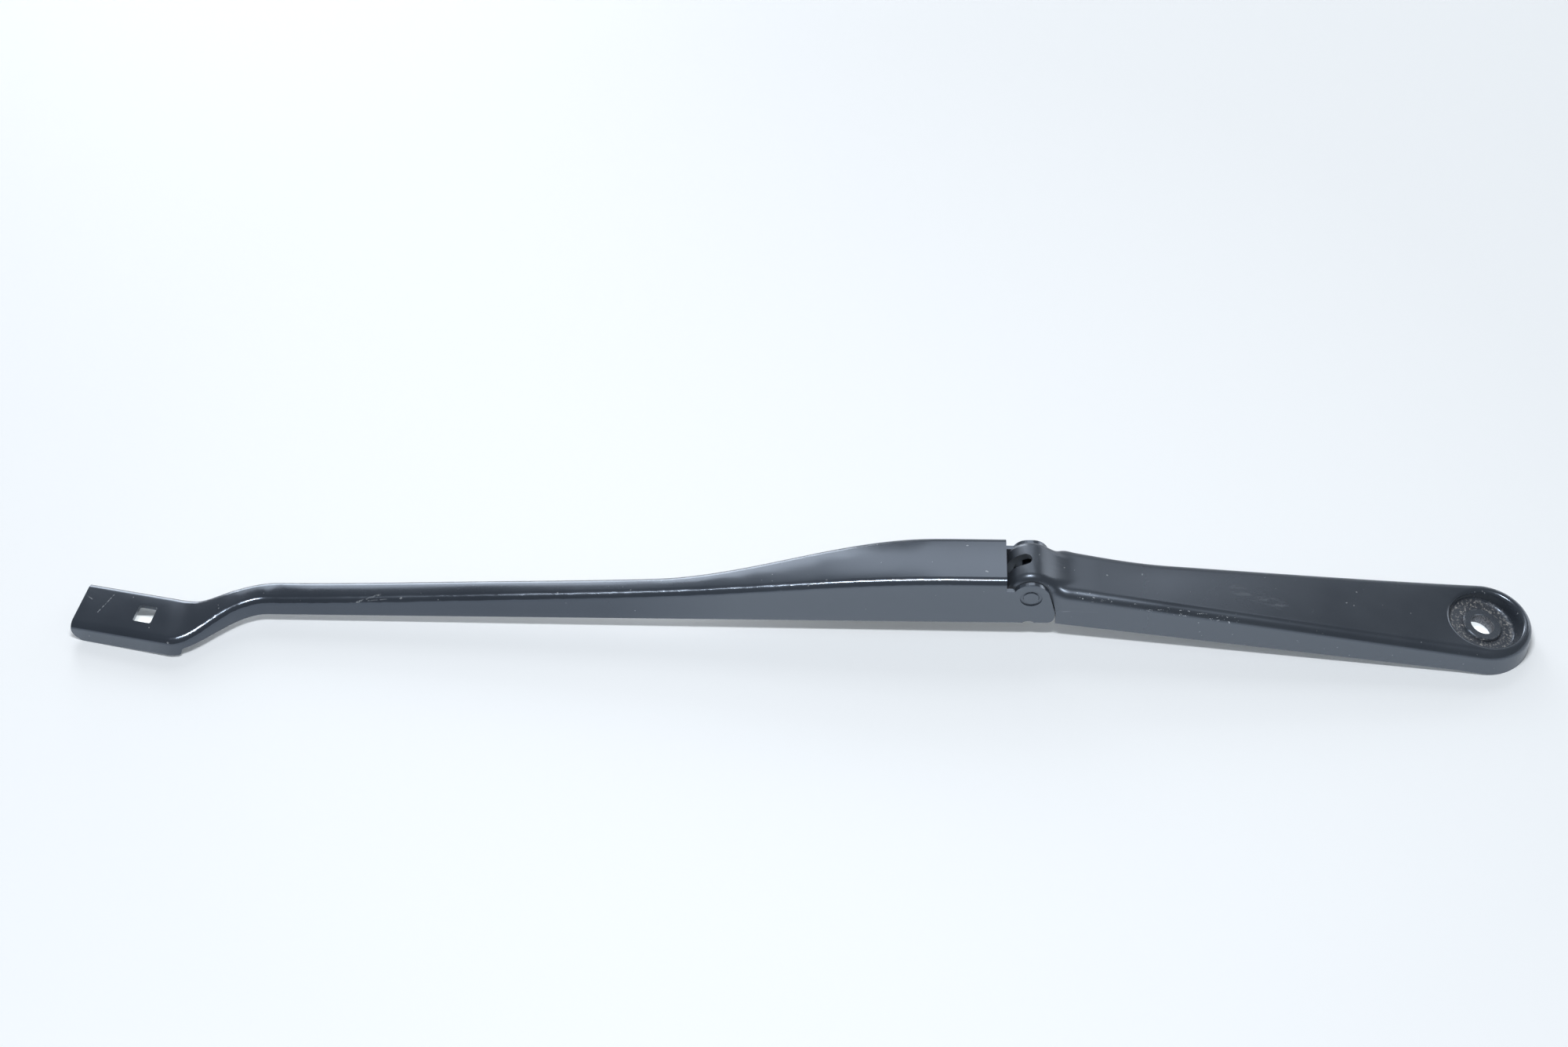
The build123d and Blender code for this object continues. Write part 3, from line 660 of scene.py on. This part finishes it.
# %% Grow the knurls
knurl_sizes = {"Ridges": 44, "Bore radius": 4.8 * MM, "Ridge width": 0.26 * MM}
tree, given, identifiers = node_tree("bore knurls", knurl_sizes)
land = ridge_ring(tree, given, 0.08, -1.5, 1.9, 0.0)
cone = ridge_ring(tree, given, 0.48, -4.0, 3.0, radians(-14.0))
both = tree.nodes.new("GeometryNodeJoinGeometry")
tree.links.new(land, both.inputs[0])
tree.links.new(cone, both.inputs[0])
turn = {"Geometry": both.outputs[0], "Rotation": (0.0, SPINDLE_LEAN, 0.0)}
finish_tree(tree, node(tree, "GeometryNodeTransform", turn).outputs[0], head_paint)
knurls = grown("bore_knurls", tree, identifiers, knurl_sizes)
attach(knurls, "head")

# %% [markdown]
# ## The tension spring
# The wire is one line: a hook round the anchor pin, close coils, and a second hook, turned by a
# quarter, in the eye of the link. The line is worked out point by point from its rule, in a frame
# of its own: along the pull of the spring, sideways and upward. All sizes are in millimetres.

# %% Frame of the spring
ANCHOR = Vector((-268.2, 3.8, 6.1))
EYE = Vector((-190.2, 8.4, 6.86))
COIL_RADIUS, WIRE_RADIUS, COIL_TURNS, TURN_STEPS = 4.2, 1.2, 14.25, 24
COIL_START, COIL_STOP = 10.0, 66.14
HOOK_START, HOOK_STOP = 0.85, (EYE - ANCHOR).length + 0.2 - COIL_RADIUS
pull = (EYE - ANCHOR).normalized()
sideways = Vector((-pull.y, pull.x, 0.0)).normalized()
upward = pull.cross(sideways)
pitch = (COIL_STOP - COIL_START) / COIL_TURNS


def wire_point(x, y, z):
    """A point of the spring's own frame, in metres on the object."""
    return (ANCHOR + pull * x + sideways * y + upward * z) * MM


print("spring of", round((EYE - ANCHOR).length, 2), "mm, pitch", round(pitch, 2), "mm")

# %% [markdown]
# A hook is an arc of the coil's own radius. Between a hook and the coils the wire takes a curve
# with two handles: each handle points along the wire where the curve begins or ends, so there is
# no kink.

# %% Line of the wire
ALONG, ROUND = 0.148, 0.989
BRIDGE_STEPS, HOOK_STEPS = 8, 18


def bridge(start, leave, arrive, stop):
    """Points of a curve between two ends with two handles, without the ends."""
    points = []
    for t in (i / BRIDGE_STEPS for i in range(1, BRIDGE_STEPS)):
        left = 1 - t
        points.append(
            start * left**3 + leave * 3 * t * left**2 + arrive * 3 * t * t * left + stop * t**3
        )
    return points


def hook(middle, first, last, lying):
    """Points of a hook, in the upright or the lying plane of the spring."""
    points = []
    for i in range(HOOK_STEPS + 1):
        angle = radians(first + (last - first) * i / HOOK_STEPS)
        x, off = middle + COIL_RADIUS * cos(angle), COIL_RADIUS * sin(angle)
        points.append(wire_point(x, off, 0) if lying else wire_point(x, 0, off))
    return points


coils = []
for i in range(int(COIL_TURNS * TURN_STEPS) + 1):
    angle = tau * i / TURN_STEPS
    y, z = -COIL_RADIUS * sin(angle), COIL_RADIUS * cos(angle)
    coils.append(wire_point(COIL_START + pitch * i / TURN_STEPS, y, z))
first_hook = hook(HOOK_START, 340, 90, lying=False)
last_hook = hook(HOOK_STOP, -90, 160, lying=True)
leave = first_hook[-1] + pull * 4 * MM
arrive = coils[0] + (sideways * ROUND - pull * ALONG) * 3 * MM
wire_line = first_hook + bridge(first_hook[-1], leave, arrive, coils[0]) + coils
leave = coils[-1] + (pull * ALONG - upward * ROUND) * 2.6 * MM
arrive = last_hook[0] - pull * 3 * MM
wire_line += bridge(coils[-1], leave, arrive, last_hook[0]) + last_hook
line_mesh = bpy.data.meshes.new("spring_line")
line_mesh.from_pydata(wire_line, [(i, i + 1) for i in range(len(wire_line) - 1)], [])
print("wire of", len(wire_line), "points")

# %% [markdown]
# Curve to Mesh sweeps a circle along the line. Its number of sides and the wire's radius are the
# tree's inputs, and the ends are capped so that the wire is a closed body. It takes the place of
# the model's spring, whose wire has few sides.

# %% Sweep the wire
spring_sizes = {"Wire radius": WIRE_RADIUS * MM, "Sides": 12}
tree, given, identifiers = node_tree("spring wire", spring_sizes)
line = node(tree, "GeometryNodeMeshToCurve", {0: given.outputs["Geometry"]}).outputs[0]
inputs = {"Resolution": given.outputs["Sides"], "Radius": given.outputs["Wire radius"]}
ring = node(tree, "GeometryNodeCurvePrimitiveCircle", inputs).outputs[0]
inputs = {"Curve": line, "Profile Curve": ring, "Fill Caps": True}
swept = node(tree, "GeometryNodeCurveToMesh", inputs).outputs[0]
finish_tree(tree, swept, spring_steel)
wire = grown("spring_wire", tree, identifiers, spring_sizes, line_mesh)
wire.data.polygons.foreach_set("use_smooth", [True] * len(wire.data.polygons))
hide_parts("spring")
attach(wire, "arm")

# %% [markdown]
# ## The table
# The arm lies on a milky white sheet that is lit from below as well, so the sheet gets brighter
# away from the lamp overhead. Seen through the window of the blade holder and through the bore, it
# has painted pools of light, bright where the arm's own shadow would make it grey.

# %% Table
FLOOR_Z, HALF_SIDE = cad_box[0][2], 4.0
SHEET = {
    "Base Color": (0.86, 0.885, 0.915, 1),
    "Roughness": 0.45,
    "Specular IOR Level": 0.5,
    "Emission Color": (0.92, 0.98, 1.0, 1),
}
signs = (-1, -1), (1, -1), (1, 1), (-1, 1)
corners = [(x * HALF_SIDE, y * HALF_SIDE, FLOOR_Z) for x, y in signs]
floor_mesh = bpy.data.meshes.new("table")
floor_mesh.from_pydata(corners, [], [(0, 1, 2, 3)])
table = new_piece("table", floor_mesh)
table_material, tree, shader, place = new_material("milky table")
for label, value in SHEET.items():
    shader.inputs[label].default_value = value
floor_mesh.materials.append(table_material)
print("table at", round(FLOOR_Z / MM, 2), "mm")

# %% [markdown]
# The glow is a value on the sheet: a wide ramp round the place under the lamp, and a painted pool
# of light, a bright disc, under each of the two holes. In the photograph the window shows bright
# only in its near part, so its painted light stops there.

# %% Glow of the table
UNDER_LAMP = (-0.24, 0.05, FLOOR_Z)
WINDOW_SPOT, WINDOW_LIT_TO = (-0.5053, -0.0007, FLOOR_Z), -0.0018
BORE_SPOT = (0.003, 0.0075, FLOOR_Z)


def disc(tree, place, spot, radius):
    """1 within a radius of a place on the sheet, fading to 0 outside."""
    gap = vector(tree, "DISTANCE", place, spot)
    return ramp(tree, gap, radius, radius * 1.15, 1.0, 0.0)


far_glow = ramp(tree, vector(tree, "DISTANCE", place, UNDER_LAMP), 0.3, 1.4, 0.11, 0.36)
y = axis_value(tree, place, "Y")
# Painted pools of light: glowing discs on the sheet under the bore and the window, where the arm's
# shadow would fall.
near_part = ramp(tree, y, WINDOW_LIT_TO, WINDOW_LIT_TO + 0.0006, 1.0, 0.0)
painted_window_light = product(tree, disc(tree, place, WINDOW_SPOT, 0.0075), near_part)
painted_hole_light = math(tree, "MAXIMUM", disc(tree, place, BORE_SPOT, 0.011), painted_window_light)
glow_and_hole_light = math(tree, "MAXIMUM", far_glow, product(tree, painted_hole_light, 0.72))
tree.links.new(glow_and_hole_light, shader.inputs["Emission Strength"])
print(table_material.name, len(tree.nodes), "nodes")

# %% [markdown]
# ## Light
# Black gloss is lit by what it mirrors, so each box of light has one face of the arm to draw. The
# narrow one overhead gives the line along the bend and the shadow under the edges. The ones
# behind are mirrored in the flat tops, brighter to the left, where the photograph is washed out.
# The low ones keep the far bends from ending in a black line.

# %% Light
BOXES = (
    # name, place, X of the place it points at on the arm, size, power
    ("overhead", (-0.30, -0.31, 1.15), -0.27, (0.34, 0.12), 9.0),
    ("behind", (-0.12, 1.3, 1.5), -0.15, (0.96, 0.5), 2.8),
    ("rear left", (-0.66, 1.42, 1.0), -0.35, (0.4, 0.5), 2.1),
    ("low left", (-0.75, 1.5, 0.45), -0.35, (0.6, 0.7), 6.5),
    ("rear right", (1.0, 1.4, 0.62), -0.15, (0.7, 0.45), 1.6),
    ("low right", (1.4, 1.2, 0.35), -0.1, (0.6, 0.6), 2.0),
    ("horizon", (0.0, 2.3, 0.7), -0.2, (3.4, 1.1), 4.5),
)
scene.view_settings.view_transform = "Standard"
world = bpy.data.worlds.new("room")
scene.world = world
world.use_nodes = True
background = world.node_tree.nodes["Background"]
background.inputs["Color"].default_value = (0.9, 0.95, 1.0, 1)
background.inputs["Strength"].default_value = 0.22
for name, spot, aim, size, power in BOXES:
    lamp = bpy.data.lights.new(name, "AREA")
    lamp.shape = "RECTANGLE"
    lamp.size, lamp.size_y = size
    lamp.energy = power
    lamp.color = (0.96, 0.98, 1.0)
    holder = new_piece(name, lamp)
    holder.location = spot
    beam = Vector((aim, 0.0, 0.0)) - Vector(spot)
    holder.rotation_euler = beam.to_track_quat("-Z", "Y").to_euler()
print(len(BOXES), "boxes of light")

# %% [markdown]
# ## Camera
# The place and the lens come from the arm's own sizes in the photograph: the view looks down at
# 47 degrees from about 1.3 metres, through a lens of 79 mm, and is turned a little to the left.

# %% Camera
lens = bpy.data.cameras.new("camera")
lens.lens = 79.2
lens.sensor_width = 36.0
camera = new_piece("camera", lens)
camera.location = (-0.2404, -0.8627, 0.9735)
camera.rotation_euler = Euler((radians(43.0), 0.0, radians(1.47)))
scene.camera = camera
print("camera", round(camera.location.length, 2), "m from the spindle")

# %% [markdown]
# ## Finish
# The scene is brought up to date.

# %% Finish
bpy.context.view_layer.update()
